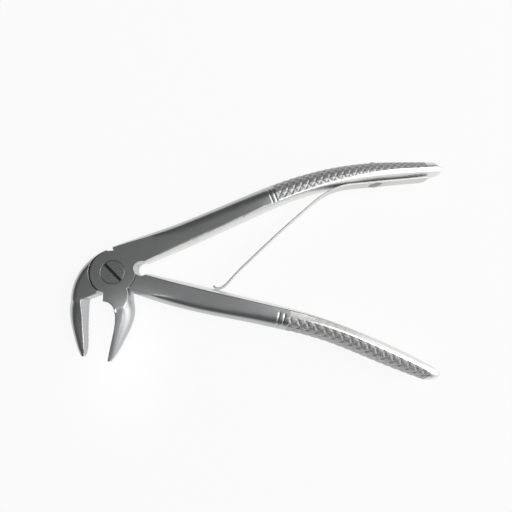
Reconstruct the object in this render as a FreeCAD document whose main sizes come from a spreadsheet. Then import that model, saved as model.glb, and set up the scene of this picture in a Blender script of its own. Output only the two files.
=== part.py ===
import FreeCAD, Part
import Sketcher
import math
import os
import re

# Child-size root extraction forceps for lower roots, hawk's-bill pattern.
# Lengths are millimetres, angles are degrees.
# Frame: the hinge axis is +Z through the origin, the origin lies on the flat back face of the joint,
# +X runs from the joint towards the handles, and the beaks point towards -Y.
# The forceps lie as stored: handles held open by the leaf spring, beaks apart.

SIZES = [
    # joint
    ("joint_thickness", 7.2, "both lap plates together"),
    ("plate_radius", 7.1, "round lap plate of each lever"),
    ("shoulder_clearance", 0.25, "between a lap plate and the shoulder round it"),
    ("lap_clearance", 0.1, "between the two lap plates"),
    ("edge_break", 0.12, "chamfer on the screw head and on the end of its thread"),
    ("grinding_stock", 0.25, "taken off each side of the forgings when the joint is ground flat"),
    # joint screw
    ("screw_head_radius", 3.75, "slotted head"),
    ("screw_head_height", 1.7, "head, flush with the front plate"),
    ("screw_neck_radius", 2.3, "plain neck that the front plate turns on"),
    ("screw_thread_radius", 2.0, "thread in the rear plate"),
    ("running_clearance", 0.04, "radial clearance of the turning fit"),
    ("head_clearance", 0.1, "radial and axial clearance round the head"),
    ("thread_clearance", 0.02, "radial clearance in the tapped rear plate"),
    ("slot_width", 0.9, "screwdriver slot"),
    ("slot_depth", 0.8, "screwdriver slot"),
    ("slot_turn", -45, "direction of the slot"),
    # handle sections: width along the hinge axis, depth from rim plane to outer crest
    ("shank_width", 7.0, "handle width at the shank"),
    ("neck_width", 7.4, "handle width at the neck"),
    ("collar_width", 8.6, "handle width where the grip begins"),
    ("swell_width", 10.2, "handle width at the swell of the grip"),
    ("palm_width", 10.4, "handle width at the palm"),
    ("heel_width", 9.4, "handle width near the end"),
    ("tip_width", 8.2, "handle width at the tip"),
    ("round_width", 6.8, "handle width in the rounded end"),
    ("end_width", 3.6, "handle width at the end face"),
    ("upper_root_depth", 9.2, "upper handle at the joint"),
    ("lower_root_depth", 6.6, "lower handle at the joint"),
    ("upper_web_depth", 8.5, "upper handle beside the joint"),
    ("lower_web_depth", 7.2, "lower handle beside the joint"),
    ("shank_depth", 7.8, "handle depth at the shank"),
    ("neck_depth", 7.4, "handle depth at the neck"),
    ("collar_depth", 7.1, "handle depth where the grip begins"),
    ("swell_depth", 6.9, "handle depth at the swell"),
    ("palm_depth", 6.5, "handle depth at the palm"),
    ("heel_depth", 5.4, "handle depth near the end"),
    ("tip_depth", 4.9, "handle depth at the tip"),
    ("round_depth", 4.1, "handle depth in the rounded end"),
    ("end_depth", 2.0, "handle depth at the end face"),
    ("root_crown", 1.2, "rise of the outer crown at the joint"),
    ("web_crown", 1.7, "rise of the outer crown beside the joint"),
    ("shank_crown", 2.2, "rise of the outer crown at the shank"),
    ("neck_crown", 2.8, "rise of the outer crown at the neck"),
    ("collar_crown", 4.0, "rise of the outer crown where the grip begins"),
    ("swell_crown", 4.9, "rise of the outer crown at the swell"),
    ("palm_crown", 4.7, "rise of the outer crown at the palm"),
    ("heel_crown", 4.0, "rise of the outer crown near the end"),
    ("tip_crown", 3.4, "rise of the outer crown at the tip"),
    ("round_crown", 2.8, "rise of the outer crown in the rounded end"),
    ("end_crown", 1.0, "rise of the outer crown at the end face"),
    ("root_belly", 0.3, "rise of the inner face at the joint"),
    ("web_belly", 0.8, "rise of the inner face beside the joint"),
    ("shank_belly", 1.2, "rise of the inner face at the shank"),
    ("neck_belly", 1.0, "rise of the inner face at the neck"),
    ("collar_belly", 0.8, "rise of the inner face where the grip begins"),
    ("swell_belly", 0.35, "rise of the inner face at the swell"),
    ("palm_belly", 0.8, "rise of the inner face at the palm"),
    ("heel_belly", 0.95, "rise of the inner face near the end"),
    ("tip_belly", 0.7, "rise of the inner face at the tip"),
    ("round_belly", 0.5, "rise of the inner face in the rounded end"),
    ("end_belly", 0.3, "rise of the inner face at the end face"),
    ("collar_inset", 0.3, "each side drawn in at the rim where the grip begins"),
    ("swell_inset", 0.85, "each side drawn in at the rim of the swell"),
    ("palm_inset", 0.95, "each side drawn in at the rim of the palm"),
    ("heel_inset", 0.8, "each side drawn in at the rim near the end"),
    ("tip_inset", 0.75, "each side drawn in at the rim of the tip"),
    ("round_inset", 0.5, "each side drawn in at the rim of the rounded end"),
    ("end_inset", 0.2, "each side drawn in at the rim of the end face"),
    # upper handle, inner rim line
    ("upper_root_x", 2.9, "start of the upper handle"),
    ("upper_root_y", 0.6, "start of the upper handle"),
    ("upper_web_x", 12.5, "upper handle beside the joint"),
    ("upper_web_y", 5.1, "upper handle beside the joint"),
    ("upper_shank_x", 24.0, "upper shank"),
    ("upper_shank_y", 10.6, "upper shank"),
    ("upper_neck_x", 42.0, "upper neck"),
    ("upper_neck_y", 19.3, "upper neck"),
    ("upper_collar_x", 55.0, "upper collar"),
    ("upper_collar_y", 25.4, "upper collar"),
    ("upper_swell_x", 70.6, "upper swell"),
    ("upper_swell_y", 31.1, "upper swell"),
    ("upper_palm_x", 90.0, "upper palm"),
    ("upper_palm_y", 35.3, "upper palm"),
    ("upper_heel_x", 105.0, "upper heel"),
    ("upper_heel_y", 37.35, "upper heel"),
    ("upper_tip_x", 113.4, "upper tip"),
    ("upper_tip_y", 38.3, "upper tip"),
    ("upper_round_x", 115.9, "upper rounded end"),
    ("upper_round_y", 38.6, "upper rounded end"),
    ("upper_end_x", 117.2, "upper end face"),
    ("upper_end_y", 39.3, "upper end face"),
    # lower handle, inner rim line
    ("lower_root_x", 2.0, "start of the lower handle"),
    ("lower_root_y", 1.3, "start of the lower handle"),
    ("lower_web_x", 12.5, "lower handle beside the joint"),
    ("lower_web_y", -1.4, "lower handle beside the joint"),
    ("lower_shank_x", 24.0, "lower shank"),
    ("lower_shank_y", -4.3, "lower shank"),
    ("lower_neck_x", 42.0, "lower neck"),
    ("lower_neck_y", -8.5, "lower neck"),
    ("lower_collar_x", 56.0, "lower collar"),
    ("lower_collar_y", -11.7, "lower collar"),
    ("lower_swell_x", 70.0, "lower swell"),
    ("lower_swell_y", -15.4, "lower swell"),
    ("lower_palm_x", 87.0, "lower palm"),
    ("lower_palm_y", -22.3, "lower palm"),
    ("lower_heel_x", 102.0, "lower heel"),
    ("lower_heel_y", -29.4, "lower heel"),
    ("lower_tip_x", 106.6, "lower tip"),
    ("lower_tip_y", -31.6, "lower tip"),
    ("lower_round_x", 109.0, "lower rounded end"),
    ("lower_round_y", -33.0, "lower rounded end"),
    ("lower_end_x", 110.2, "lower end face"),
    ("lower_end_y", -34.4, "lower end face"),
    # right beak, inner rim line, on the front lever
    ("right_root_x", 0.5, "right beak inside the joint"),
    ("right_root_y", -4.5, "right beak inside the joint"),
    ("right_bend_x", 0.9, "right beak below the joint"),
    ("right_bend_y", -10.2, "right beak below the joint"),
    ("right_belly_x", 1.3, "right beak at its widest"),
    ("right_belly_y", -14.4, "right beak at its widest"),
    ("right_waist_x", 0.8, "right beak, lower half"),
    ("right_waist_y", -19.2, "right beak, lower half"),
    ("right_nose_x", -0.2, "right beak near the tip"),
    ("right_nose_y", -24.2, "right beak near the tip"),
    ("right_point_x", -0.9, "right beak tip"),
    ("right_point_y", -28.4, "right beak tip"),
    ("right_root_depth", 4.8, "right beak inside the joint"),
    ("right_bend_depth", 5.4, "right beak below the joint"),
    ("right_belly_depth", 5.3, "right beak at its widest"),
    ("right_waist_depth", 4.1, "right beak, lower half"),
    ("right_nose_depth", 2.8, "right beak near the tip"),
    ("right_point_depth", 0.9, "right beak tip"),
    # left beak, inner rim line, on the rear lever
    ("left_bend_x", -8.95, "left beak below the shoulder"),
    ("left_bend_y", -8.3, "left beak below the shoulder"),
    ("left_belly_x", -8.85, "left beak at its widest"),
    ("left_belly_y", -12.0, "left beak at its widest"),
    ("left_waist_x", -8.45, "left beak, middle"),
    ("left_waist_y", -16.0, "left beak, middle"),
    ("left_taper_x", -8.05, "left beak, lower half"),
    ("left_taper_y", -20.4, "left beak, lower half"),
    ("left_nose_x", -7.75, "left beak near the tip"),
    ("left_nose_y", -24.0, "left beak near the tip"),
    ("left_point_x", -8.1, "left beak tip"),
    ("left_point_y", -26.8, "left beak tip"),
    ("left_bend_depth", 4.25, "left beak below the shoulder"),
    ("left_belly_depth", 4.7, "left beak at its widest"),
    ("left_waist_depth", 4.45, "left beak, middle"),
    ("left_taper_depth", 3.6, "left beak, lower half"),
    ("left_nose_depth", 2.75, "left beak near the tip"),
    ("left_point_depth", 1.05, "left beak tip"),
    # beak sections
    ("beak_belly_width", 6.2, "beak width at its widest"),
    ("beak_waist_width", 4.8, "beak width, middle"),
    ("beak_taper_width", 4.1, "beak width, lower half"),
    ("beak_nose_width", 3.4, "beak width near the tip"),
    ("beak_point_width", 2.1, "beak width at the tip"),
    ("beak_root_crown", 1.6, "rise of the outer crown at the joint"),
    ("beak_belly_crown", 3.1, "rise of the outer crown at the widest"),
    ("beak_waist_crown", 2.4, "rise of the outer crown, middle"),
    ("beak_taper_crown", 2.05, "rise of the outer crown, lower half"),
    ("beak_nose_crown", 1.7, "rise of the outer crown near the tip"),
    ("beak_point_crown", 0.5, "rise of the outer crown at the tip"),
    ("beak_root_hollow", 0.1, "hollow of the inner face at the joint"),
    ("beak_belly_hollow", 0.6, "hollow of the inner face at the widest"),
    ("beak_waist_hollow", 0.7, "hollow of the inner face, middle"),
    ("beak_taper_hollow", 0.6, "hollow of the inner face, lower half"),
    ("beak_nose_hollow", 0.45, "hollow of the inner face near the tip"),
    ("beak_point_hollow", 0.15, "hollow of the inner face at the tip"),
    # lobe of the front plate, over the right beak
    ("lobe_left", -2.5, "left side of the lobe"),
    ("lobe_corner_y", -9.4, "lower corner of the lobe"),
    ("lobe_arc_radius", 3.6, "arc from the lobe to the beak"),
    ("lobe_lap", 0.6, "how far the lobe runs into the beak"),
    # shoulder of the rear lever, round the front plate
    ("shoulder_top_turn", 111, "upper end of the shoulder, seen from the hinge"),
    ("shoulder_low_turn", 233, "lower end of the shoulder, seen from the hinge"),
    ("shoulder_lip_turn", 235.8, "outer corner of the lower end, seen from the hinge"),
    ("shoulder_top_wall", 0.8, "upper end of the shoulder, outside its clearance"),
    ("shoulder_low_wall", 1.2, "lower end of the shoulder, outside its clearance"),
    ("shoulder_reach", 0.7, "how far the shoulder runs in under the lap plates"),
    ("shoulder_arc_radius", 16.9, "outer line of the shoulder"),
    ("shoulder_relief_x", -0.25, "centre of the relief inside the shoulder, leaves a crescent gap"),
    ("shoulder_relief_y", 0.15, "centre of the relief inside the shoulder"),
    ("shoulder_inset", 0.2, "outer line of the shoulder inside the crest of the beak"),
    ("shoulder_lap", 0.4, "how far the shoulder runs into the beak"),
    ("shoulder_rounding", 2.4, "rounded outer edges"),
    # relief at the root of the lower handle
    ("relief_corner_x", 5.5, "inner corner of the relief"),
    ("relief_corner_y", -5.0, "inner corner of the relief"),
    ("relief_foot_x", 7.95, "outer corner of the relief"),
    ("relief_foot_y", -9.4, "outer corner of the relief"),
    # throat between the handles, at the joint
    ("throat_x", 8.9, "centre of the round throat"),
    ("throat_y", 1.3, "centre of the round throat"),
    ("throat_radius", 2.4, "round throat"),
    # leaf spring
    ("spring_thickness", 0.8, "leaf spring"),
    ("spring_end_width", 4.6, "width at the fixed end"),
    ("spring_base_width", 5.2, "width under the rivet head"),
    ("spring_bend_width", 4.4, "width at the bend"),
    ("spring_toe_width", 2.4, "width at the toe"),
    ("base_end_share", 0.786, "fixed end of the spring, share of the way from heel to tip"),
    ("base_end_drop", 1.1, "fixed end of the spring, its outer face below the rim line"),
    ("base_start_share", 0.562, "where the spring leaves the grip, share of the way from swell to palm"),
    ("base_start_drop", 0.31, "where the spring leaves the grip, its outer face below the rim line"),
    ("spring_leave_x", 75.0, "in the bend"),
    ("spring_leave_y", 30.85, "in the bend"),
    ("spring_bend_x", 69.5, "start of the free run"),
    ("spring_bend_y", 27.5, "start of the free run"),
    ("spring_bow", 0.5, "bow of the free run, towards the joint"),
    ("spring_low_x", 39.4, "end of the free run"),
    ("spring_low_y", -0.5, "end of the free run"),
    ("spring_toe_reach", 10.2, "toe, from the lower shank along the handle"),
    ("spring_toe_gap", 0.1, "between the toe and the lower handle at rest"),
    ("spring_curl_length", 2.0, "upturned end of the toe"),
    ("spring_curl_rise", 0.8, "upturned end of the toe"),
    # spring rivet
    ("rivet_share", 0.33, "place of the rivet along the base of the spring"),
    ("rivet_standoff", 0.2, "between the spring and the inner face of the palm, at the rivet"),
    ("rivet_shank_radius", 1.0, "through the spring and the grip"),
    ("rivet_clearance", 0.03, "radial clearance in the spring and the grip"),
    ("rivet_head_radius", 2.4, "head on the spring"),
    ("rivet_head_gap", 0.06, "between the head and the spring"),
    ("rivet_head_height", 0.6, "head on the spring"),
    ("rivet_dome_radius", 1.3, "peened end on the grip"),
    ("rivet_dome_height", 0.5, "peened end, above the grip"),
    ("rivet_dome_sink", 0.4, "peened end, sunk in the grip"),
]

UPPER = 1
LOWER = -1
CROWN_STEPS = 12
INNER_STEPS = 4
HANDLE_STATIONS = ["root", "web", "shank", "neck", "collar", "swell", "palm", "heel", "tip"]
END_STATIONS = ["tip", "round", "end"]
RIGHT_STATIONS = ["root", "bend", "belly", "waist", "nose", "point"]
RIGHT_SECTIONS = ["root", "root", "belly", "waist", "nose", "point"]
LEFT_STATIONS = ["bend", "belly", "waist", "taper", "nose", "point"]
LEFT_SECTIONS = ["root", "belly", "waist", "taper", "nose", "point"]
FLAT_STATIONS = ["root", "web", "shank", "neck"]
FORGED_WIDTH = "(joint_thickness + 2 * grinding_stock)"
SPRING_BASE = [0.25, 0.5, 0.75]
SPRING_RUN = [0.17, 0.33, 0.5, 0.67, 0.83]

doc = FreeCAD.newDocument("root_extraction_forceps")
sheet = doc.addObject("Spreadsheet::Sheet", "Sizes")
for row, (alias, size, note) in enumerate(SIZES, start=1):
    sheet.set(f"A{row}", alias)
    sheet.set(f"B{row}", str(size))
    sheet.set(f"C{row}", note)
    sheet.setAlias(f"B{row}", alias)
doc.recompute()


def bound(text):
    """Point every size named in an expression at its cell in the sheet."""
    return re.sub(r"\b([a-z]+(?:_[a-z]+)+)\b", r"Sizes.\1", str(text))


def number(text):
    """The present value of an expression, for the first guess of a sketch."""
    found = sheet.evalExpression(bound(text))
    return float(getattr(found, "Value", found))


def new_body(name):
    body = doc.addObject("PartDesign::Body", name)
    body.Label = name
    return body


def new_sketch(body, name, role, place=("0", "0", "0"), turn="0 deg"):
    """A sketch on one of the body's own origin planes, moved by place and turned about the hinge axis."""
    plane = [item for item in body.Origin.OriginFeatures if item.Role == role][0]
    sketch = body.newObject("Sketcher::SketchObject", name)
    sketch.AttachmentSupport = [(plane, "")]
    sketch.MapMode = "FlatFace"
    up = FreeCAD.Vector(0, 0, 1) if role == "XY_Plane" else FreeCAD.Vector(0, 1, 0)
    sketch.AttachmentOffset = FreeCAD.Placement(FreeCAD.Vector(), FreeCAD.Rotation(up, 30))
    x, y, z = place
    offset = (x, y, z) if role == "XY_Plane" else (x, z, f"-({y})")
    for axis, value in zip("xyz", offset):
        sketch.setExpression(f"AttachmentOffset.Base.{axis}", bound(value))
    sketch.setExpression("AttachmentOffset.Rotation.Angle", bound(turn))
    return sketch


def straight():
    return None


def arc(radius, turning):
    """turning is 1 where the arc's centre lies left of the way round, -1 where it lies right."""
    return (radius, turning)


def arc_geometry(first, last, radius, turning):
    chord = last - first
    half = chord.Length / 2
    side = FreeCAD.Vector(-chord.y, chord.x, 0).normalize() * turning
    centre = (first + last) / 2 + side * math.sqrt(max(radius * radius - half * half, 0))
    start, end = (first, last) if turning > 0 else (last, first)
    begin = math.atan2(start.y - centre.y, start.x - centre.x)
    finish = math.atan2(end.y - centre.y, end.x - centre.x)
    if finish <= begin:
        finish += 2 * math.pi
    circle = Part.Circle(centre, FreeCAD.Vector(0, 0, 1), radius)
    return Part.ArcOfCircle(circle, begin, finish)


def draw_outline(sketch, corners):
    """A closed outline. Each corner is (x, y, edge to the next corner), all of them expressions."""
    places = [FreeCAD.Vector(number(x), number(y), 0) for x, y, edge in corners]
    count = len(corners)
    ends = []
    for index, (x, y, edge) in enumerate(corners):
        first = places[index]
        last = places[(index + 1) % count]
        if edge is None:
            line = sketch.addGeometry(Part.LineSegment(first, last), False)
            ends.append((line, 1, 2))
        else:
            radius, turning = edge
            curve = sketch.addGeometry(arc_geometry(first, last, number(radius), turning), False)
            ends.append((curve, 1, 2) if turning > 0 else (curve, 2, 1))
            rule = sketch.addConstraint(Sketcher.Constraint("Radius", curve, number(radius)))
            sketch.setExpression(f"Constraints[{rule}]", bound(radius))
    for index, (x, y, edge) in enumerate(corners):
        item, begin, finish = ends[index]
        after, after_begin, after_finish = ends[(index + 1) % count]
        sketch.addConstraint(Sketcher.Constraint("Coincident", item, finish, after, after_begin))
        for kind, value in (("DistanceX", x), ("DistanceY", y)):
            rule = sketch.addConstraint(Sketcher.Constraint(kind, -1, 1, item, begin, number(value)))
            sketch.setExpression(f"Constraints[{rule}]", bound(value))


def draw_circle(sketch, radius):
    circle = Part.Circle(FreeCAD.Vector(), FreeCAD.Vector(0, 0, 1), number(radius))
    item = sketch.addGeometry(circle, False)
    sketch.addConstraint(Sketcher.Constraint("Coincident", item, 3, -1, 1))
    rule = sketch.addConstraint(Sketcher.Constraint("Radius", item, number(radius)))
    sketch.setExpression(f"Constraints[{rule}]", bound(radius))


def arc_radius(chord, rise):
    """Radius of an arc that rises by rise over a chord."""
    return f"((({chord}) ^ 2) / 4 + ({rise}) ^ 2) / (2 * ({rise}))"


def bearing(before, after):
    """Direction from one named point of a sheet path to another."""
    return f"atan2({after}_y - {before}_y; {after}_x - {before}_x)"


def station_bearing(lever, stations, index):
    before = stations[max(index - 1, 0)]
    after = stations[min(index + 1, len(stations) - 1)]
    return bearing(f"{lever}_{before}", f"{lever}_{after}")


def ground_arc(width, rise, foot, lean, begin, steps):
    """Corners of the narrow flats of an arc over a chord, without its ends.

    foot is the depth of the chord, lean the side that the arc rises to, begin the side it starts from."""
    radius = f"({arc_radius(width, rise)})"
    corners = []
    for step in range(1, steps):
        angle = f"2 * atan(2 * ({rise}) / ({width})) * {begin * (steps - 2 * step)} / {steps}"
        x = f"({foot}) + {lean} * (({rise}) - {radius} * (1 - cos({angle})))"
        y = f"{radius} * sin({angle})"
        corners.append((x, y, straight()))
    return corners


def section_sketch(body, name, place, turn, width, inset, depth, crown, inner, lean):
    """A lever section: two flat sides, a crowned outer side, and an inner side that is an arc.

    The sides draw in towards the rim by inset. lean is -1 for a full inner side, 1 for a hollow one."""
    sketch = new_sketch(body, name, "XZ_Plane", place, turn)
    side = f"({depth}) - ({crown})"
    rim = f"({width} - 2 * {inset})"
    draw_outline(sketch, [
        ("0", f"{rim} / 2", straight()),
        (side, f"({width}) / 2", straight()),
        *ground_arc(width, crown, side, 1, 1, CROWN_STEPS),
        (side, f"-({width}) / 2", straight()),
        ("0", f"-{rim} / 2", straight()),
        *ground_arc(rim, inner, "0", lean, -1, INNER_STEPS),
    ])
    return sketch


def add_loft(body, name, sketches):
    loft = body.newObject("PartDesign::AdditiveLoft", name)
    loft.Profile = sketches[0]
    loft.Sections = sketches[1:]
    loft.Ruled = False
    loft.Closed = False
    doc.recompute()
    return loft


def add_handle(body, lever, side):
    """Root, shank and grip of a handle, through sections square to its inner rim line, and its end."""
    sketches = []
    for index, station in enumerate(HANDLE_STATIONS):
        width = FORGED_WIDTH if station in ("root", "web") else f"{station}_width"
        depth = f"{lever}_{station}_depth" if station in ("root", "web") else f"{station}_depth"
        place = (f"{lever}_{station}_x", f"{lever}_{station}_y", "joint_thickness / 2")
        turn = f"{station_bearing(lever, HANDLE_STATIONS, index)} + {90 * side} deg"
        inset = "0" if station in FLAT_STATIONS else f"{station}_inset"
        name = f"{lever}_{station}_section"
        sketches.append(section_sketch(body, name, place, turn, width, inset, depth,
                                       f"{station}_crown", f"{station}_belly", -1))
    add_loft(body, f"{lever}_handle", sketches)

    ends = []
    for index, station in enumerate(END_STATIONS):
        place = (f"{lever}_{station}_x", f"{lever}_{station}_y", "joint_thickness / 2")
        path = HANDLE_STATIONS if station == "tip" else END_STATIONS
        turn = f"{station_bearing(lever, path, path.index(station))} + {90 * side} deg"
        ends.append(section_sketch(body, f"{lever}_end_section{index}", place, turn, f"{station}_width",
                                   f"{station}_inset", f"{station}_depth", f"{station}_crown",
                                   f"{station}_belly", -1))
    return add_loft(body, f"{lever}_rounded_end", ends)


def add_beak(body, beak, side, stations, sections):
    """A beak, crowned outside and hollow inside, through sections square to its inner rim line."""
    sketches = []
    for index, (station, section) in enumerate(zip(stations, sections)):
        width = FORGED_WIDTH if section == "root" else f"beak_{section}_width"
        depth = f"{beak}_{station}_depth"
        place = (f"{beak}_{station}_x", f"{beak}_{station}_y", "joint_thickness / 2")
        turn = f"{station_bearing(beak, stations, index)} + {90 * side} deg"
        name = f"{beak}_{station}_section"
        sketches.append(section_sketch(body, name, place, turn, width, "0", depth,
                                       f"beak_{section}_crown", f"beak_{section}_hollow", 1))
    return add_loft(body, f"{beak}_beak", sketches)


def grind_joint(body, lever):
    """Grind the forging flat on both sides, over the roots of its handle and its beak."""
    left = "left_bend_x - left_bend_depth"
    top = "upper_neck_y + neck_depth"
    for side, height, reverse in (("front", "joint_thickness", True), ("back", "0", False)):
        area = new_sketch(body, f"{body.Name}_{side}_grinding_area", "XY_Plane", ("0", "0", height))
        draw_outline(area, [
            (left, "right_belly_y", straight()),
            (f"{lever}_shank_x", "right_belly_y", straight()),
            (f"{lever}_shank_x", top, straight()),
            (left, top, straight()),
        ])
        add_pocket(body, f"{body.Name}_{side}_grinding", area, "joint_thickness / 2", reverse)


def add_throat(body):
    """The round throat between the handles, cut through the plate and the root of the handle."""
    throat = new_sketch(body, f"{body.Name}_throat_outline", "XY_Plane",
                        ("throat_x", "throat_y", "joint_thickness"))
    draw_circle(throat, "throat_radius")
    return add_pocket(body, f"{body.Name}_throat", throat, "joint_thickness")


def add_pad(body, name, sketch, length, reverse=False):
    pad = body.newObject("PartDesign::Pad", name)
    pad.Profile = sketch
    pad.setExpression("Length", bound(length))
    pad.Reversed = reverse
    doc.recompute()
    return pad


def add_pocket(body, name, sketch, length, reverse=False):
    """A pocket, checked to take material away."""
    before = body.Shape.Volume
    pocket = body.newObject("PartDesign::Pocket", name)
    pocket.Profile = sketch
    pocket.setExpression("Length", bound(length))
    pocket.Reversed = reverse
    doc.recompute()
    if body.Shape.Volume >= before:
        raise RuntimeError(f"{name} cuts nothing")
    return pocket


def add_revolution(body, name, sketch, axis):
    turned = body.newObject("PartDesign::Revolution", name)
    turned.Profile = sketch
    turned.ReferenceAxis = (sketch, [axis])
    turned.Angle = 360
    doc.recompute()
    return turned


def add_groove(body, name, sketch, axis):
    """A turned groove, checked to take material away."""
    before = body.Shape.Volume
    groove = body.newObject("PartDesign::Groove", name)
    groove.Profile = sketch
    groove.ReferenceAxis = (sketch, [axis])
    groove.Angle = 360
    doc.recompute()
    if body.Shape.Volume >= before:
        raise RuntimeError(f"{name} cuts nothing")
    return groove


def disc_sketch(body, name, radius, height):
    sketch = new_sketch(body, name, "XY_Plane", ("0", "0", height))
    draw_circle(sketch, radius)
    return sketch


# Faces of the lap, ends of the spring's straight base, frame of its rivet, and radii of the shoulder.
FRONT_LAP = "joint_thickness / 2 + lap_clearance / 2"
REAR_LAP = "joint_thickness / 2 - lap_clearance / 2"
HALF = "(joint_thickness - lap_clearance) / 2"
START_X = "(upper_swell_x + (upper_palm_x - upper_swell_x) * base_start_share)"
START_Y = ("(upper_swell_y + (upper_palm_y - upper_swell_y) * base_start_share"
           " - base_start_drop - spring_thickness / 2)")
END_X = "(upper_heel_x + (upper_tip_x - upper_heel_x) * base_end_share)"
END_Y = ("(upper_heel_y + (upper_tip_y - upper_heel_y) * base_end_share"
         " - base_end_drop - spring_thickness / 2)")
RIVET_PLACE = (f"{START_X} + ({END_X} - {START_X}) * rivet_share",
               f"{START_Y} + ({END_Y} - {START_Y}) * rivet_share", "joint_thickness / 2")
RIVET_TURN = f"atan2({END_Y} - {START_Y}; {END_X} - {START_X}) + 90 deg"
HEAD_FACE = "(spring_thickness / 2 + rivet_head_gap)"
RIVET_REACH = "(spring_thickness / 2 + rivet_standoff + palm_belly + palm_depth)"
DOME_SEAT = f"({RIVET_REACH} - rivet_dome_sink)"
SHOULDER_INNER = "(plate_radius - shoulder_reach)"
SHOULDER_TOP = "(plate_radius + shoulder_clearance + shoulder_top_wall)"
SHOULDER_LOW = "(plate_radius + shoulder_clearance + shoulder_low_wall)"


def add_front_lever():
    body = new_body("front_lever")
    add_handle(body, "upper", UPPER)
    add_beak(body, "right", UPPER, RIGHT_STATIONS, RIGHT_SECTIONS)
    grind_joint(body, "upper")

    lobe = new_sketch(body, "lobe_outline", "XY_Plane")
    foot = "lobe_corner_y - lobe_arc_radius"
    draw_outline(lobe, [
        ("lobe_left", "right_root_y", straight()),
        ("lobe_left", "lobe_corner_y", arc("lobe_arc_radius", -1)),
        ("lobe_left + lobe_arc_radius", foot, straight()),
        ("right_bend_x + lobe_lap", foot, straight()),
        ("right_bend_x + lobe_lap", "right_root_y", straight()),
    ])
    add_pad(body, "lobe", lobe, "joint_thickness")

    plate = disc_sketch(body, "front_plate_outline", "plate_radius", FRONT_LAP)
    add_pad(body, "front_plate", plate, HALF)
    recess = disc_sketch(body, "front_recess_outline", "plate_radius + shoulder_clearance", FRONT_LAP)
    add_pocket(body, "front_recess", recess, "joint_thickness")

    seat = disc_sketch(body, "screw_seat_outline", "screw_head_radius + head_clearance", "joint_thickness")
    add_pocket(body, "screw_seat", seat, "screw_head_height + head_clearance")
    hole = disc_sketch(body, "neck_hole_outline", "screw_neck_radius + running_clearance", "joint_thickness")
    add_pocket(body, "neck_hole", hole, "joint_thickness")
    add_throat(body)

    rivet = new_sketch(body, "rivet_hole_outline", "XY_Plane", RIVET_PLACE, RIVET_TURN)
    bore = "rivet_shank_radius + rivet_clearance"
    sink = f"{DOME_SEAT} - rivet_clearance"
    draw_outline(rivet, [
        ("0", "0", straight()),
        (f"{RIVET_REACH} + 1", "0", straight()),
        (f"{RIVET_REACH} + 1", "rivet_dome_radius + rivet_clearance", straight()),
        (sink, "rivet_dome_radius + rivet_clearance", straight()),
        (sink, bore, straight()),
        ("0", bore, straight()),
    ])
    add_groove(body, "rivet_hole", rivet, "H_Axis")
    return body


def add_rear_lever():
    body = new_body("rear_lever")
    add_handle(body, "lower", LOWER)

    relief = new_sketch(body, "relief_outline", "XY_Plane")
    draw_outline(relief, [
        ("relief_corner_x", "relief_corner_y", straight()),
        ("relief_foot_x", "relief_foot_y", straight()),
        ("0", "relief_foot_y", straight()),
        ("0", "relief_corner_y", straight()),
    ])
    add_pocket(body, "relief", relief, "joint_thickness", True)

    shoulder = new_sketch(body, "shoulder_outline", "XY_Plane")
    outer = "left_bend_x - left_bend_depth + shoulder_inset"
    draw_outline(shoulder, [
        (f"{SHOULDER_INNER} * cos(shoulder_top_turn)", f"{SHOULDER_INNER} * sin(shoulder_top_turn)",
         arc(SHOULDER_INNER, 1)),
        (f"{SHOULDER_INNER} * cos(shoulder_low_turn)", f"{SHOULDER_INNER} * sin(shoulder_low_turn)",
         straight()),
        (f"{SHOULDER_LOW} * cos(shoulder_lip_turn)", f"{SHOULDER_LOW} * sin(shoulder_lip_turn)",
         straight()),
        ("left_bend_x", "left_bend_y - shoulder_lap", straight()),
        (outer, "left_bend_y - shoulder_lap", arc("shoulder_arc_radius", -1)),
        (f"{SHOULDER_TOP} * cos(shoulder_top_turn)", f"{SHOULDER_TOP} * sin(shoulder_top_turn)",
         straight()),
    ])
    block = add_pad(body, "shoulder", shoulder, "joint_thickness")
    rims = []
    for index, edge in enumerate(block.Shape.Edges, start=1):
        curve = edge.Curve
        if curve.TypeId == "Part::GeomCircle" and abs(curve.Radius - number("shoulder_arc_radius")) < 1e-4:
            if edge.BoundBox.ZLength < 1e-4:
                rims.append(f"Edge{index}")
    rounding = body.newObject("PartDesign::Fillet", "shoulder_rounding_fillet")
    rounding.Base = (block, rims)
    rounding.setExpression("Radius", bound("shoulder_rounding"))
    doc.recompute()

    add_beak(body, "left", LOWER, LEFT_STATIONS, LEFT_SECTIONS)
    grind_joint(body, "lower")

    plate = disc_sketch(body, "rear_plate_outline", "plate_radius", "0")
    add_pad(body, "rear_plate", plate, HALF)
    recess = disc_sketch(body, "rear_recess_outline", "plate_radius + shoulder_clearance", REAR_LAP)
    add_pocket(body, "rear_recess", recess, "joint_thickness", True)
    relief = new_sketch(body, "shoulder_relief_outline", "XY_Plane",
                        ("shoulder_relief_x", "shoulder_relief_y", REAR_LAP))
    draw_circle(relief, "plate_radius + shoulder_clearance")
    add_pocket(body, "shoulder_relief", relief, "joint_thickness", True)
    hole = disc_sketch(body, "tapped_hole_outline", "screw_thread_radius + thread_clearance", "0")
    add_pocket(body, "tapped_hole", hole, "joint_thickness", True)
    add_throat(body)
    return body


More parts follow.
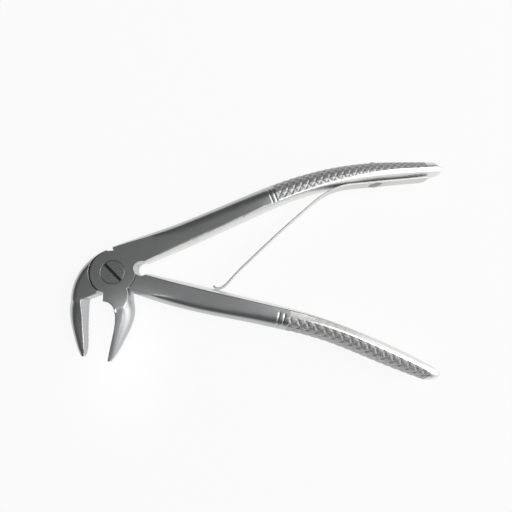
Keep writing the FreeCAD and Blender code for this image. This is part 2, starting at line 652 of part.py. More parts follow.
def add_joint_screw():
    """Slotted joint screw. Its neck stands on the rear plate, its thread ends flush with the back."""
    body = new_body("joint_screw")
    sketch = new_sketch(body, "screw_profile", "XZ_Plane")
    under_head = "joint_thickness - screw_head_height"
    draw_outline(sketch, [
        ("0", "0", straight()),
        ("screw_thread_radius - edge_break", "0", straight()),
        ("screw_thread_radius", "edge_break", straight()),
        ("screw_thread_radius", REAR_LAP, straight()),
        ("screw_neck_radius", REAR_LAP, straight()),
        ("screw_neck_radius", under_head, straight()),
        ("screw_head_radius", under_head, straight()),
        ("screw_head_radius", "joint_thickness - edge_break", straight()),
        ("screw_head_radius - edge_break", "joint_thickness", straight()),
        ("0", "joint_thickness", straight()),
    ])
    add_revolution(body, "screw_blank", sketch, "V_Axis")

    slot = new_sketch(body, "slot_outline", "XY_Plane", ("0", "0", "joint_thickness"), "slot_turn * 1 deg")
    reach = "(screw_head_radius + 1)"
    draw_outline(slot, [
        (f"-{reach}", "-slot_width / 2", straight()),
        (reach, "-slot_width / 2", straight()),
        (reach, "slot_width / 2", straight()),
        (f"-{reach}", "slot_width / 2", straight()),
    ])
    add_pocket(body, "slot", slot, "slot_depth")
    return body


def spring_base(share):
    """A stop on the straight base of the spring, at a share of the way from its fixed end."""
    x = f"({END_X} + ({START_X} - {END_X}) * {share})"
    y = f"({END_Y} + ({START_Y} - {END_Y}) * {share})"
    return (f"base{round(100 * share)}", x, y, "spring_base_width")


def spring_run(share):
    """A stop on the free run, at a share of the way from the bend to its low end, with its bow."""
    lift = f"spring_bow * 4 * {share} * (1 - {share})"
    across = "atan2(spring_bend_y - spring_low_y; spring_bend_x - spring_low_x)"
    x = f"(spring_bend_x + (spring_low_x - spring_bend_x) * {share} - {lift} * sin({across}))"
    y = f"(spring_bend_y + (spring_low_y - spring_bend_y) * {share} + {lift} * cos({across}))"
    width = f"(spring_bend_width + (spring_toe_width - spring_bend_width) * {share})"
    return (f"run{round(100 * share)}", x, y, width)


def add_leaf_spring():
    """Tapered leaf spring, from the heel of the upper grip to the inner side of the lower handle."""
    body = new_body("leaf_spring")
    shank = bearing("lower_shank", "lower_neck")
    rest = "(shank_belly + spring_toe_gap + spring_thickness / 2)"
    toe_x = f"(lower_shank_x + spring_toe_reach * cos({shank}) - {rest} * sin({shank}))"
    toe_y = f"(lower_shank_y + spring_toe_reach * sin({shank}) + {rest} * cos({shank}))"
    curl_x = f"({toe_x} - spring_curl_length)"
    curl_y = f"({toe_y} + spring_curl_rise)"
    stops = [
        ("end", END_X, END_Y, "spring_end_width"),
        *[spring_base(share) for share in SPRING_BASE],
        ("start", START_X, START_Y, "spring_base_width"),
        ("leave", "spring_leave_x", "spring_leave_y", "spring_base_width"),
        ("bend", "spring_bend_x", "spring_bend_y", "spring_bend_width"),
        *[spring_run(share) for share in SPRING_RUN],
        ("low", "spring_low_x", "spring_low_y", "spring_toe_width"),
        ("toe", toe_x, toe_y, "spring_toe_width"),
        ("curl", curl_x, curl_y, "spring_toe_width"),
    ]
    sketches = []
    for index, (name, x, y, width) in enumerate(stops):
        before = stops[max(index - 1, 0)]
        after = stops[min(index + 1, len(stops) - 1)]
        turn = f"atan2({after[2]} - {before[2]}; {after[1]} - {before[1]}) + 90 deg"
        place = (x, y, "joint_thickness / 2")
        sketch = new_sketch(body, f"spring_{name}_section", "XZ_Plane", place, turn)
        draw_outline(sketch, [
            ("-spring_thickness / 2", f"-({width}) / 2", straight()),
            ("spring_thickness / 2", f"-({width}) / 2", straight()),
            ("spring_thickness / 2", f"({width}) / 2", straight()),
            ("-spring_thickness / 2", f"({width}) / 2", straight()),
        ])
        sketches.append(sketch)
    add_loft(body, "spring_leaf", sketches)

    hole = new_sketch(body, "spring_hole_outline", "XY_Plane", RIVET_PLACE, RIVET_TURN)
    bore = "rivet_shank_radius + rivet_clearance"
    draw_outline(hole, [
        ("-spring_thickness", "0", straight()),
        ("spring_thickness", "0", straight()),
        ("spring_thickness", bore, straight()),
        ("-spring_thickness", bore, straight()),
    ])
    add_groove(body, "spring_hole", hole, "H_Axis")
    return body


def add_spring_rivet():
    """Rivet of the spring: low domed head on the spring, peened end let into the grip."""
    body = new_body("spring_rivet")
    sketch = new_sketch(body, "rivet_profile", "XY_Plane", RIVET_PLACE, RIVET_TURN)
    head_arc = arc_radius("2 * rivet_head_radius", "rivet_head_height")
    dome_rise = "(rivet_dome_sink + rivet_dome_height) / 2"
    dome_arc = arc_radius("2 * rivet_dome_radius", dome_rise)
    draw_outline(sketch, [
        (f"-{HEAD_FACE} - rivet_head_height", "0", straight()),
        (f"{DOME_SEAT} + 2 * {dome_rise}", "0", arc(dome_arc, 1)),
        (f"{DOME_SEAT} + {dome_rise}", "rivet_dome_radius", straight()),
        (DOME_SEAT, "rivet_dome_radius", straight()),
        (DOME_SEAT, "rivet_shank_radius", straight()),
        (f"-{HEAD_FACE}", "rivet_shank_radius", straight()),
        (f"-{HEAD_FACE}", "rivet_head_radius", arc(head_arc, 1)),
    ])
    add_revolution(body, "rivet_solid", sketch, "H_Axis")
    return body


def check_and_export(bodies):
    doc.recompute()
    for item in doc.Objects:
        if "Invalid" in item.State or "Error" in item.State:
            raise RuntimeError(f"{item.Name} is {item.State}")
    for body in bodies:
        shape = body.Shape
        if shape.isNull() or not shape.isValid():
            raise RuntimeError(f"{body.Name} has no valid shape")
    os.makedirs("parts", exist_ok=True)
    for body in bodies:
        shape = body.Shape
        box = shape.BoundBox
        print(f"{body.Label}: {len(shape.Solids)} solid, {shape.Volume:.1f} mm3, "
              f"{box.XLength:.1f} x {box.YLength:.1f} x {box.ZLength:.1f} mm")
        shape.exportStep(f"parts/{body.Label}.step")


check_and_export([
    add_front_lever(),
    add_rear_lever(),
    add_joint_screw(),
    add_leaf_spring(),
    add_spring_rivet(),
])
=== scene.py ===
import math

import bpy
from mathutils import Matrix, Vector


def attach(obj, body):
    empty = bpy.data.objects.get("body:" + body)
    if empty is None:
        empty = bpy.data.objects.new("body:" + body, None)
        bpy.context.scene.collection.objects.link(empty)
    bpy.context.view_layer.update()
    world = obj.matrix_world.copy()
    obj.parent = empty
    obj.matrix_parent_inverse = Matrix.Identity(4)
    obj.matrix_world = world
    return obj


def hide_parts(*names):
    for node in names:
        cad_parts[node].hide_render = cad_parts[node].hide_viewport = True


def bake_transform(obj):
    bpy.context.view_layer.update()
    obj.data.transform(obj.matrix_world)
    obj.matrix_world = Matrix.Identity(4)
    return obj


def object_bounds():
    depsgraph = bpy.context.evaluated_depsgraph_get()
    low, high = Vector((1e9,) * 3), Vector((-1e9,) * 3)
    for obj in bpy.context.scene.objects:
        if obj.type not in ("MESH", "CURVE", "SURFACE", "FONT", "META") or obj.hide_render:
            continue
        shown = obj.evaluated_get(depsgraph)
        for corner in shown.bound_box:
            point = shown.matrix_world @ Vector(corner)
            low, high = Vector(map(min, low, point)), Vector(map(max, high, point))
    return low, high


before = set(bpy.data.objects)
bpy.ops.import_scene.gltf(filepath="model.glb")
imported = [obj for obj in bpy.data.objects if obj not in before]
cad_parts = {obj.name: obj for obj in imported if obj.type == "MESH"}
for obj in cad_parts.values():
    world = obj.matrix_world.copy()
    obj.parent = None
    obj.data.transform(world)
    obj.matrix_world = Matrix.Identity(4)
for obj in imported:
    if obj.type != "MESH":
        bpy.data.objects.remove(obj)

# Looks of the child-size root extraction forceps. Lengths are metres, in the part's own frame:
# hinge axis +Z, handles towards +X, beaks towards -Y, the slotted screw head towards the viewer.
CAD_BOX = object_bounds()
MM = 0.001
MID_Z = 3.6 * MM              # middle plane of the forceps
MERGE_REACH = 0.001 * MM      # CAD vertices this near to each other are one

# Ground edges of the joint
EDGE_BREAK = 0.10 * MM
EDGE_ANGLE = math.radians(24)   # an edge that bends more than this is a ground one
FLAT_ANGLE = math.radians(0.6)  # facets that bend less than this are one flat face
SHARP_ANGLE = math.radians(60)  # an edge that bends more than this is drawn sharp

# Rounded skins of the handles and the beaks: cell of the remesh, and smoothing passes
HANDLE_CELL = 0.215 * MM
HANDLE_PASSES = 8
BEAK_CELL = 0.13 * MM
BEAK_PASSES = 30
SKIN_BLEND = 1.5 * MM         # length over which the rounding grows from nothing
SKIN_LAP = 0.3 * MM           # how far a rounded skin runs in under the crisp one
SEAM_REACH = 2.0 * MM         # where the rounded handle begins on the shank's rim line

# Further rounding of the shank's outer side: it begins this far out from the inner rim line, is
# full after the rise, and fades towards both ends of the shank
SHANK_PASSES = 220
SHANK_OUT = 2.0 * MM
SHANK_RISE = 2.5 * MM
SHANK_FADE = 9 * MM

# Blocks that part the skins: they reach past every side of the forceps
CUT_REACH = 160 * MM
BEAK_BLOCK_LOW = -60 * MM
BEAK_BLOCK_THICK = 40 * MM

# Where the rounded beaks begin, and the sides between which they lie
BEAKS = {
    "front_lever": {"seam": -9.5 * MM, "sides": (-12 * MM, 16 * MM)},
    "rear_lever": {"seam": -6.6 * MM, "sides": (-30 * MM, 0 * MM)},
}

# Crosshatch and ring grooves of the grips
HATCH_ANGLE = math.radians(47)
HATCH_DEPTH = 0.21 * MM
HATCH_END = 0.5 * MM          # length over which the crosshatch begins and ends
HATCH_SIDE = 0.4 * MM         # width over which it rises beside the smooth rim
GROOVE_SHARE = 0.5            # a groove's share of the distance between grooves
GRIP_WIDE = 20 * MM           # farther out than any grip
GIRTH_CENTRE = 1.5 * MM       # the girth is measured round a line this far out from the rim
GIRTH_RADIUS = 5.0 * MM       # mean radius of the grip, turns an angle round it into a length
RING_WIDTH = 0.8 * MM
RING_DEPTH = 0.40             # share of the hatch depth on each side of a ring groove's middle
RIVET_LAND = 2.0 * MM         # round the rivet's peened end the grip stays smooth
DOME_CAP = 0.2 * MM           # height of the cap that gives the middle of the peened end

# Each grip: three places on its inner rim line give the arc that the pattern follows. The step is
# the grooves' distance along the grip, the land is the smooth rim at its start and end. The shank
# is the inner rim line between the joint and the grip.
GRIPS = {
    "front_lever": {
        "rim": ((52.0 * MM, 24.0 * MM), (83.0 * MM, 34.0 * MM), (114.0 * MM, 38.3 * MM)),
        "outward": 1,
        "hatch": (3.0 * MM, 60.0 * MM),
        "step": 2.6 * MM,
        "land": (0.6 * MM, 1.7 * MM),
        "rings": (0.7 * MM, 2.2 * MM),
        "shank": ((12.5 * MM, 5.1 * MM), (55.0 * MM, 25.4 * MM)),
    },
    "rear_lever": {
        "rim": ((52.0 * MM, -10.8 * MM), (80.0 * MM, -19.3 * MM), (108.0 * MM, -32.3 * MM)),
        "outward": -1,
        "hatch": (6.3 * MM, 58.5 * MM),
        "step": 3.1 * MM,
        "land": (2.0 * MM, 2.0 * MM),
        "rings": (2.8 * MM, 4.7 * MM),
        "shank": ((12.5 * MM, -1.4 * MM), (56.0 * MM, -11.7 * MM)),
    },
}

# Coats of a lever, in the order of its material slots
COATS = ("forged", "hatch", "land")
FORGED, HATCH, LAND_AND_PAINTED_LIGHT = range(len(COATS))
LAND_LEAN = 0.5               # a face that leans this far inward gets the polished rim coat, whose near-white colour is painted light
LAND_BEGINS = -4 * MM         # and lies this far along the shank's rim line, or farther

# Slot of the joint screw, whose faces get a dark coat of painted shade
SLOT_FLOOR = 6.3 * MM
SLOT_TOP = 7.15 * MM
SLOT_HALF = 0.5 * MM

# Leaf spring: from where it leaves the grip to its toe on the lower handle
SPRING_EDGE = 0.15 * MM
SPRING_EDGE_ANGLE = math.radians(50)
SPRING_SMOOTH_ANGLE = math.radians(35)

# Size of the slow change of tone over a steel surface
CLOUD_SIZE = 9 * MM

# Floor: its side, its distance under the grips, and how much of its white is its own glow
FLOOR_SIDE = 3.0
FLOOR_GAP = 0.05 * MM
FLOOR_GLOW = 0.9

# Brightness of the studio, and where its parts are: a direction, and the cosines of the angles to
# it at which the part begins and is full. The table is given by height.
ROOM_DARK = 0.10
ROOM_CEILING = 0.28
ROOM_TABLE = 0.9
SOFT_BOX = 1.55
CEILING_LOBE = ((-0.14, -0.09, 1), 0.92, 0.97)
SOFT_BOX_LOBE = ((0.78, -0.08, 0.62), 0.66, 0.86)
TABLE_HEIGHTS = (0.32, 0.08)

# Lamps: place, what they aim at, size, watts, and spread in degrees
LAMPS = {
    "side": ((0.40, 0.05, 0.45), (0.03, 0, 0), (0.3, 0.3), 0.8, 180),
    "beak_strip": ((0.003, -0.029, 0.060), (0.003, -0.029, 0), (0.012, 0.030), 0.0009, 36),
}

# Camera, at the photograph's viewing angle
CAMERA_PLACE = (36.54 * MM, -9.63 * MM, 116.14 * MM)
CAMERA_BACK = (-0.0900, -0.1400, 0.9861)
CAMERA_LENS = 22.99
CAMERA_SENSOR = 36.0
CAMERA_NEAR = 5 * MM


def linear(text):
    """An sRGB hex colour as linear red, green, blue and alpha."""
    parts = [int(text[index:index + 2], 16) / 255 for index in (1, 3, 5)]
    curve = [part / 12.92 if part <= 0.04045 else ((part + 0.055) / 1.055) ** 2.4
             for part in parts]
    return (*curve, 1.0)


def add_node(tree, kind, settings=None, inputs=None):
    """Add one node. An input that is given a socket is linked to it, any other is set."""
    item = tree.nodes.new(kind)
    for name, value in (settings or {}).items():
        setattr(item, name, value)
    for name, value in (inputs or {}).items():
        if isinstance(value, bpy.types.NodeSocket):
            tree.links.new(value, item.inputs[name])
        else:
            item.inputs[name].default_value = value
    return item


def new_material(name):
    material = bpy.data.materials.new(name)
    material.use_nodes = True
    material.node_tree.nodes.clear()
    return material, material.node_tree


def steel(name, dark, light, rough, grain, relief):
    """Stainless steel: a slow change of tone over the surface, and a grain from its finish.

    rough is the lowest and highest roughness, grain the size of the finish marks, relief their
    height."""
    material, tree = new_material(name)
    place = add_node(tree, "ShaderNodeTexCoord").outputs["Object"]
    clouds = add_node(tree, "ShaderNodeTexNoise", inputs={
        "Vector": place, "Scale": 1 / CLOUD_SIZE, "Detail": 3.0, "Roughness": 0.55})
    marks = add_node(tree, "ShaderNodeTexNoise", inputs={
        "Vector": place, "Scale": 1 / grain, "Detail": 2.0, "Roughness": 0.6})
    tone = add_node(tree, "ShaderNodeMix", {"data_type": "RGBA"}, {
        "Factor": clouds.outputs["Fac"], "A": linear(dark), "B": linear(light)})
    gloss = add_node(tree, "ShaderNodeMapRange", inputs={
        "Value": marks.outputs["Fac"], "From Min": 0.3, "From Max": 0.7,
        "To Min": rough[0], "To Max": rough[1]})
    bump = add_node(tree, "ShaderNodeBump", inputs={
        "Height": marks.outputs["Fac"], "Strength": 0.6, "Distance": relief})
    shader = add_node(tree, "ShaderNodeBsdfPrincipled", inputs={
        "Base Color": tone.outputs["Result"], "Roughness": gloss.outputs["Result"],
        "Normal": bump.outputs["Normal"], "Metallic": 1.0})
    add_node(tree, "ShaderNodeOutputMaterial", inputs={"Surface": shader.outputs["BSDF"]})
    return material


def deselect_all():
    for item in bpy.context.selected_objects:
        item.select_set(False)


def make_active(item):
    deselect_all()
    item.select_set(True)
    bpy.context.view_layer.objects.active = item


def apply_modifier(item, kind, **settings):
    make_active(item)
    modifier = item.modifiers.new(kind.lower(), kind)
    for name, value in settings.items():
        setattr(modifier, name, value)
    bpy.ops.object.modifier_apply(modifier=modifier.name)


def cad_copy(node, name):
    """A merged copy of a CAD node's mesh, as a new object at the origin."""
    piece = bpy.data.objects.new(name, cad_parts[node].data.copy())
    bpy.context.scene.collection.objects.link(piece)
    piece.data.materials.clear()
    make_active(piece)
    bpy.ops.object.mode_set(mode="EDIT")
    bpy.ops.mesh.select_all(action="SELECT")
    bpy.ops.mesh.remove_doubles(threshold=MERGE_REACH)
    bpy.ops.object.mode_set(mode="OBJECT")
    return piece


def rim_arc(points):
    """Centre and radius of the arc through three points, and the bearing of its first point."""
    (ax, ay), (bx, by), (cx, cy) = points
    twice = 2 * (ax * (by - cy) + bx * (cy - ay) + cx * (ay - by))
    a2, b2, c2 = ax * ax + ay * ay, bx * bx + by * by, cx * cx + cy * cy
    x = (a2 * (by - cy) + b2 * (cy - ay) + c2 * (ay - by)) / twice
    y = (a2 * (cx - bx) + b2 * (ax - cx) + c2 * (bx - ax)) / twice
    return Vector((x, y)), math.hypot(ax - x, ay - y), math.atan2(ay - y, ax - x)


def grip_place(grip, arc, point):
    """Along the grip, outward from its rim line, and round it, all as lengths."""
    centre, radius, first = arc
    reach = Vector((point.x, point.y)) - centre
    along = (first - math.atan2(reach.y, reach.x)) * radius
    outward = (reach.length - radius) * grip["outward"]
    girth = math.atan2(point.z - MID_Z, outward - GIRTH_CENTRE) * GIRTH_RADIUS
    return along, outward, girth


def groove(distance, pitch):
    """1 in the middle of a groove of the crosshatch, falling to 0 at its sides."""
    off = abs((distance / pitch + 0.5) % 1.0 - 0.5) * pitch
    return max(0.0, 1.0 - off / (GROOVE_SHARE * pitch / 2))


def fade(value, low, high, edge):
    """1 inside a range and 0 outside it, over a soft edge."""
    return max(0.0, min(1.0, (value - low) / edge, (high - value) / edge))


def land_width(grip, along):
    first, last = grip["land"]
    share = max(0.0, min(1.0, along / grip["hatch"][1]))
    return first + (last - first) * share


def dome_place():
    """Middle of the rivet's peened end, on the outer side of the upper grip."""
    places = [vertex.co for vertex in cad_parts["spring_rivet"].data.vertices]
    crest = max(place.y for place in places)
    top = [place for place in places if place.y > crest - DOME_CAP]
    return sum(top, Vector()) / len(top)


def cut_grip(piece, grip):
    """Cut the crosshatch and the two ring grooves into the skin of a grip, and coat it."""
    arc = rim_arc(grip["rim"])
    start, end = grip["hatch"]
    cut = piece.vertex_groups.new(name="grooves")
    slope = (math.sin(HATCH_ANGLE), math.cos(HATCH_ANGLE))
    pitch = grip["step"] * slope[0]
    dome = dome_place()
    for vertex in piece.data.vertices:
        if (vertex.co - dome).length < RIVET_LAND:
            continue
        along, outward, girth = grip_place(grip, arc, vertex.co)
        land = land_width(grip, along)
        mask = (fade(along, start, end, HATCH_END)
                * fade(outward, land, GRIP_WIDE, HATCH_SIDE))
        weight = 0.0
        if mask > 0:
            first = groove(along * slope[0] + girth * slope[1], pitch)
            second = groove(along * slope[0] - girth * slope[1], pitch)
            weight = mask * max(first, second)
        for ring in grip["rings"]:
            off = abs(along - ring)
            if off < RING_WIDTH / 2 and outward > land - HATCH_SIDE:
                wave = 1 + math.cos(2 * math.pi * off / RING_WIDTH)
                weight = max(weight, RING_DEPTH * wave)
        if weight > 0:
            cut.add([vertex.index], weight, "REPLACE")
    apply_modifier(piece, "DISPLACE", direction="NORMAL", vertex_group="grooves", mid_level=0.0,
                   strength=-HATCH_DEPTH)
    piece.vertex_groups.clear()
    for face in piece.data.polygons:
        along, outward, _ = grip_place(grip, arc, face.center)
        if start < along < end and outward > land_width(grip, along):
            face.material_index = HATCH
        elif start < along:
            face.material_index = LAND_AND_PAINTED_LIGHT
        face.use_smooth = True


def use_block(piece, operation, matrix, size):
    """Keep what a block holds of a piece (INTERSECT), or take it away (DIFFERENCE)."""
    bpy.ops.mesh.primitive_cube_add(size=1.0, location=(0, 0, 0))
    block = bpy.context.active_object
    block.matrix_world = matrix @ Matrix.Diagonal((*size, 1.0))
    apply_modifier(piece, "BOOLEAN", object=block, operation=operation, solver="EXACT")
    bpy.data.objects.remove(block)


def cut_ahead(piece, place, bearing):
    """Cut away what lies ahead of a place, on a bearing in the plane of the forceps."""
    matrix = (Matrix.Translation((place[0], place[1], MID_Z))
              @ Matrix.Rotation(bearing, 4, "Z")
              @ Matrix.Translation((CUT_REACH / 2, 0, 0)))
    use_block(piece, "DIFFERENCE", matrix, (CUT_REACH, CUT_REACH, CUT_REACH))


def part_beak(piece, beak, operation, lap):
    """Take the beak off a lever, or keep nothing but it."""
    left, right = beak["sides"]
    top, low = beak["seam"] + lap, BEAK_BLOCK_LOW
    middle = ((left + right) / 2, (top + low) / 2, MID_Z)
    use_block(piece, operation, Matrix.Translation(middle),
              (right - left, top - low, BEAK_BLOCK_THICK))


def shank_place(grip, point):
    """Along the shank's inner rim line and outward from it, with its length and direction."""
    first, last = (Vector(end) for end in grip["shank"])
    line = (last - first).normalized()
    off = Vector((point[0], point[1])) - first
    outward = (line.x * off.y - line.y * off.x) * grip["outward"]
    return off.dot(line), outward, (last - first).length, line


def handle_seam(grip, shift):
    """Place and bearing of the seam between the crisp joint and the rounded handle."""
    first = Vector(grip["shank"][0])
    line = shank_place(grip, first)[3]
    return first + line * (SEAM_REACH + shift), math.atan2(line.y, line.x)


def shank_share(grip, point):
    """How much the outer side of the shank is rounded at a place, from 0 to 1."""
    along, outward, length, _ = shank_place(grip, point)
    return (min(1.0, max(0.0, (outward - SHANK_OUT) / SHANK_RISE))
            * fade(along, SEAM_REACH, length, SHANK_FADE))


def remesh(piece, cell):
    apply_modifier(piece, "REMESH", mode="VOXEL", voxel_size=cell, adaptivity=0.0,
                   use_smooth_shade=True)


def smooth_skin(piece, passes, share):
    """Smooth a piece. share gives how much at a place, from 0 to 1."""
    eased = piece.vertex_groups.new(name="eased")
    for vertex in piece.data.vertices:
        eased.add([vertex.index], max(0.0, min(1.0, share(vertex.co))), "REPLACE")
    apply_modifier(piece, "SMOOTH", factor=0.5, iterations=passes, vertex_group="eased")
    piece.vertex_groups.clear()


def break_edges(piece):
    """Bevel the outward edges of a piece. Inner corners stay, so nothing grows into a gap."""
    sides = {}
    for face in piece.data.polygons:
        for key in face.edge_keys:
            sides.setdefault(key, []).append(face)
    weights = piece.data.attributes.new("bevel_weight_edge", "FLOAT", "EDGE")
    for edge in piece.data.edges:
        faces = sides.get(edge.key, [])
        if len(faces) == 2:
            first, second = faces
            outward = (second.center - first.center).dot(first.normal) < 0
            bent = first.normal.angle(second.normal, 0.0) > EDGE_ANGLE
            weights.data[edge.index].value = 1.0 if outward and bent else 0.0
    apply_modifier(piece, "BEVEL", width=EDGE_BREAK, segments=2, limit_method="WEIGHT",
                   use_clamp_overlap=False)


def ground_joint(node, name):
    """The crisp joint of a lever: flat faces, broken edges, and no beak or handle."""
    joint = cad_copy(node, name)
    bpy.ops.object.mode_set(mode="EDIT")
    bpy.ops.mesh.select_all(action="SELECT")
    bpy.ops.mesh.dissolve_limited(angle_limit=FLAT_ANGLE)
    bpy.ops.object.mode_set(mode="OBJECT")
    break_edges(joint)
    place, ahead = handle_seam(GRIPS[node], 0.0)
    cut_ahead(joint, place, ahead)
    part_beak(joint, BEAKS[node], "DIFFERENCE", 0.0)
    for face in joint.data.polygons:
        face.use_smooth = True
    make_active(joint)
    bpy.ops.object.mode_set(mode="EDIT")
    bpy.ops.mesh.select_mode(type="EDGE")
    bpy.ops.mesh.select_all(action="DESELECT")
    bpy.ops.mesh.edges_select_sharp(sharpness=SHARP_ANGLE)
    bpy.ops.mesh.mark_sharp()
    bpy.ops.mesh.select_mode(type="FACE")
    bpy.ops.object.mode_set(mode="OBJECT")
    apply_modifier(joint, "WEIGHTED_NORMAL", weight=80, keep_sharp=True)
    return joint


def rounded_beak(node, name):
    beak = BEAKS[node]
    bill = cad_copy(node, name)
    part_beak(bill, beak, "INTERSECT", SKIN_LAP)
    remesh(bill, BEAK_CELL)
    smooth_skin(bill, BEAK_PASSES, lambda place: (beak["seam"] - place.y) / SKIN_BLEND)
    return bill


def rounded_handle(node, name):
    grip = GRIPS[node]
    handle = cad_copy(node, name)
    place, ahead = handle_seam(grip, -SKIN_LAP)
    cut_ahead(handle, place, ahead + math.pi)
    remesh(handle, HANDLE_CELL)
    smooth_skin(handle, HANDLE_PASSES,
                lambda place: (shank_place(grip, place)[0] - SEAM_REACH) / SKIN_BLEND)
    smooth_skin(handle, SHANK_PASSES, lambda place: shank_share(grip, place))
    return handle


def coat_lever(part, grip):
    """The lever's three coats, with the polished one on its inner side from the joint on; its
    near-white colour on the faces that lean inward is painted light.
    """
    part.data.materials.clear()
    for coat in COATS:
        part.data.materials.append(materials[coat])
    for face in part.data.polygons:
        along, _, _, line = shank_place(grip, face.center)
        inward = (line.y * face.normal.x - line.x * face.normal.y) * grip["outward"]
        polished_with_painted_light = inward > LAND_LEAN and along > LAND_BEGINS
        face.material_index = LAND_AND_PAINTED_LIGHT if polished_with_painted_light else FORGED


def forged_lever(node, name):
    """A forged lever: a crisp ground joint, a rounded beak, and a handle with its grip."""
    joint = ground_joint(node, name)
    bill = rounded_beak(node, name + "_beak")
    handle = rounded_handle(node, name + "_handle")
    for part in (joint, bill, handle):
        coat_lever(part, GRIPS[node])
    cut_grip(handle, GRIPS[node])
    for part in (joint, bill, handle):
        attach(part, node)
        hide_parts(node)


def bent_spring():
    """The leaf spring, with its edges broken."""
    piece = cad_copy("leaf_spring", "leaf_spring_strip")
    apply_modifier(piece, "BEVEL", width=SPRING_EDGE, segments=2, limit_method="ANGLE",
                   angle_limit=SPRING_EDGE_ANGLE, use_clamp_overlap=False)
    make_active(piece)
    bpy.ops.object.shade_smooth_by_angle(angle=SPRING_SMOOTH_ANGLE)
    piece.data.materials.append(materials["spring"])
    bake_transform(piece)
    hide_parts("leaf_spring")


def dress(node, *coats):
    """Give a CAD node its materials. The second one, a dark coat of painted shade, goes inside
    the screw's slot.
    """
    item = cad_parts[node]
    item.data.materials.clear()
    for coat in coats:
        item.data.materials.append(coat)
    for face in item.data.polygons:
        across = (face.center.x + face.center.y) / math.sqrt(2)
        in_slot = SLOT_FLOOR < face.center.z < SLOT_TOP and abs(across) < SLOT_HALF
        face.material_index = 1 if len(coats) > 1 and in_slot else 0


def rays_of(tree, *kinds):
    """1 for light rays of these kinds, 0 for any other."""
    path = add_node(tree, "ShaderNodeLightPath")
    chosen = path.outputs[kinds[0]]
    for kind in kinds[1:]:
        chosen = add_node(tree, "ShaderNodeMath", {"operation": "MAXIMUM"}, {
            0: chosen, 1: path.outputs[kind]}).outputs[0]
    return chosen


def lay_floor():
    """A pale floor under the grips. It is white to the camera and in the steel, and keeps a
    shadow."""
    low = CAD_BOX[0][2] - FLOOR_GAP
    deselect_all()
    bpy.ops.mesh.primitive_plane_add(size=FLOOR_SIDE, location=(0, 0, low))
    floor = bpy.context.active_object
    floor.name = "floor"
    bpy.ops.object.transform_apply(location=True)
    material, tree = new_material("matt_white_card")
    shown = rays_of(tree, "Is Camera Ray", "Is Glossy Ray", "Is Transmission Ray")
    card = add_node(tree, "ShaderNodeBsdfDiffuse", inputs={"Color": linear("#f4f4f2")})
    glow = add_node(tree, "ShaderNodeEmission", inputs={"Color": (1, 1, 1, 1), "Strength": 1.0})
    veil = add_node(tree, "ShaderNodeMath", {"operation": "MULTIPLY"}, {0: shown, 1: FLOOR_GLOW})
    mix = add_node(tree, "ShaderNodeMixShader", inputs={
        0: veil.outputs[0], 1: card.outputs[0], 2: glow.outputs[0]})
    add_node(tree, "ShaderNodeOutputMaterial", inputs={"Surface": mix.outputs[0]})
    floor.data.materials.append(material)


def direction_lobe(tree, direction, aim, start, full):
    """1 in the directions near aim and 0 away from it."""
    near = add_node(tree, "ShaderNodeVectorMath", {"operation": "DOT_PRODUCT"}, {
        0: direction, 1: Vector(aim).normalized()})
    return add_node(tree, "ShaderNodeMapRange", {"interpolation_type": "SMOOTHSTEP"}, {
        "Value": near.outputs["Value"], "From Min": start, "From Max": full}).outputs["Result"]


def light_room():
    """Studio round the forceps: a soft box high on the right, a grey ceiling with the camera in
    it, a dark left side, and the white table showing low down all round."""
    world = bpy.data.worlds.new("studio")
    bpy.context.scene.world = world
    world.use_nodes = True
    tree = world.node_tree
    tree.nodes.clear()
    direction = add_node(tree, "ShaderNodeTexCoord").outputs["Generated"]
    height = add_node(tree, "ShaderNodeSeparateXYZ", inputs={"Vector": direction}).outputs["Z"]
    ceiling = direction_lobe(tree, direction, *CEILING_LOBE)
    box = direction_lobe(tree, direction, *SOFT_BOX_LOBE)
    table = add_node(tree, "ShaderNodeMapRange", {"interpolation_type": "SMOOTHSTEP"}, {
        "Value": height, "From Min": TABLE_HEIGHTS[0],
        "From Max": TABLE_HEIGHTS[1]}).outputs["Result"]
    level = add_node(tree, "ShaderNodeMapRange", inputs={
        "Value": ceiling, "To Min": ROOM_DARK, "To Max": ROOM_CEILING}).outputs["Result"]
    for lobe, strength in ((box, SOFT_BOX), (table, ROOM_TABLE)):
        part = add_node(tree, "ShaderNodeMath", {"operation": "MULTIPLY"}, {0: lobe, 1: strength})
        level = add_node(tree, "ShaderNodeMath", {"operation": "MAXIMUM"}, {
            0: level, 1: part.outputs[0]}).outputs[0]
    room = add_node(tree, "ShaderNodeBackground", inputs={
        "Color": (1, 1, 1, 1), "Strength": level})
    white = add_node(tree, "ShaderNodeBackground", inputs={
        "Color": (1, 1, 1, 1), "Strength": 1.0})
    mix = add_node(tree, "ShaderNodeMixShader", inputs={
        0: rays_of(tree, "Is Camera Ray", "Is Transmission Ray"),
        1: room.outputs[0], 2: white.outputs[0]})
    add_node(tree, "ShaderNodeOutputWorld", inputs={"Surface": mix.outputs[0]})


def add_lamp(name, place, aim, size, power, spread):
    data = bpy.data.lights.new(name, "AREA")
    data.shape = "RECTANGLE"
    data.size, data.size_y = size
    data.energy = power
    data.spread = math.radians(spread)
    lamp = bpy.data.objects.new(name, data)
    bpy.context.scene.collection.objects.link(lamp)
    lamp.location = place
    lamp.rotation_euler = (Vector(aim) - Vector(place)).to_track_quat("-Z", "Y").to_euler()


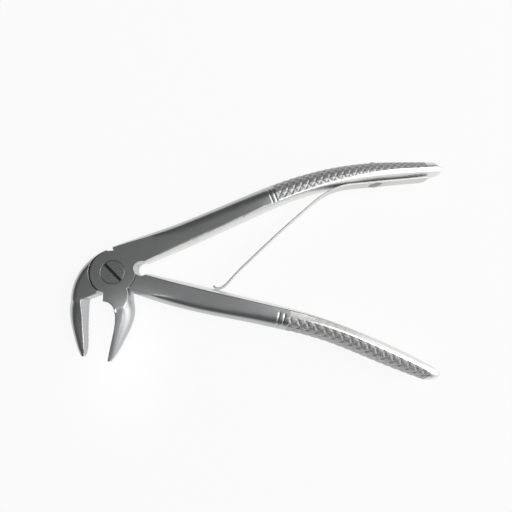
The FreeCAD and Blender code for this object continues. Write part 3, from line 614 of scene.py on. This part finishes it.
def add_camera():
    data = bpy.data.cameras.new("camera")
    data.sensor_width = CAMERA_SENSOR
    data.lens = CAMERA_LENS
    data.clip_start = CAMERA_NEAR
    camera = bpy.data.objects.new("camera", data)
    bpy.context.scene.collection.objects.link(camera)
    back = Vector(CAMERA_BACK).normalized()
    right = Vector((0, 1, 0)).cross(back).normalized()
    up = back.cross(right)
    turn = Matrix((right, up, back)).transposed().to_4x4()
    camera.matrix_world = Matrix.Translation(CAMERA_PLACE) @ turn
    bpy.context.scene.camera = camera


materials = {
    # Forged surgical steel, satin blasted: soft grey reflections without a sharp image in them.
    "forged": steel("forged_surgical_steel_satin", "#b9babb", "#c6c7c8",
                    (0.29, 0.33), 0.35 * MM, 0.002 * MM),
    # Crosshatched part of the grips, blasted after cutting: dull grey, with a light edge on each
    # diamond.
    "hatch": steel("blasted_crosshatch_steel", "#b4b5b5", "#c2c3c2",
                   (0.48, 0.58), 0.3 * MM, 0.01 * MM),
    # Rims and inner faces of the handles, polished on a belt, with soft reflections; their nearly
    # white colour is painted light that brightens the sides leaning inward.
    "land": steel("belt_polished_rim_steel_painted_light", "#e4e4e3", "#eeeeed",
                  (0.30, 0.40), 0.4 * MM, 0.003 * MM),
    # Turned steel of the screw: a little darker and smoother than the forging.
    "screw": steel("turned_screw_steel", "#b0b1b2", "#bcbdbe",
                   (0.22, 0.30), 0.25 * MM, 0.004 * MM),
    # Slot of the screw: a dark, dull coat that is painted shade for the shadow inside the narrow
    # slot.
    "slot": steel("dull_slot_steel", "#4c4c4c", "#5c5c5c",
                  (0.5, 0.6), 0.25 * MM, 0.006 * MM),
    # Rolled spring strip: pale grey satin, with soft, wide reflections.
    "spring": steel("rolled_spring_strip_steel", "#dcdcdb", "#e4e4e3",
                    (0.60, 0.68), 0.3 * MM, 0.002 * MM),
    # Polished rivet: a darker, mirror-like dot on the pale spring and on the crosshatch.
    "rivet": steel("polished_rivet_steel", "#8e8f90", "#989999",
                   (0.18, 0.24), 0.3 * MM, 0.001 * MM),
}

forged_lever("front_lever", "front_lever_forging")
forged_lever("rear_lever", "rear_lever_forging")
bent_spring()
dress("joint_screw", materials["screw"], materials["slot"])
dress("spring_rivet", materials["rivet"])

lay_floor()
light_room()
for lamp_name, lamp_values in LAMPS.items():
    add_lamp(lamp_name, *lamp_values)
add_camera()
bpy.context.scene.view_settings.view_transform = "Standard"
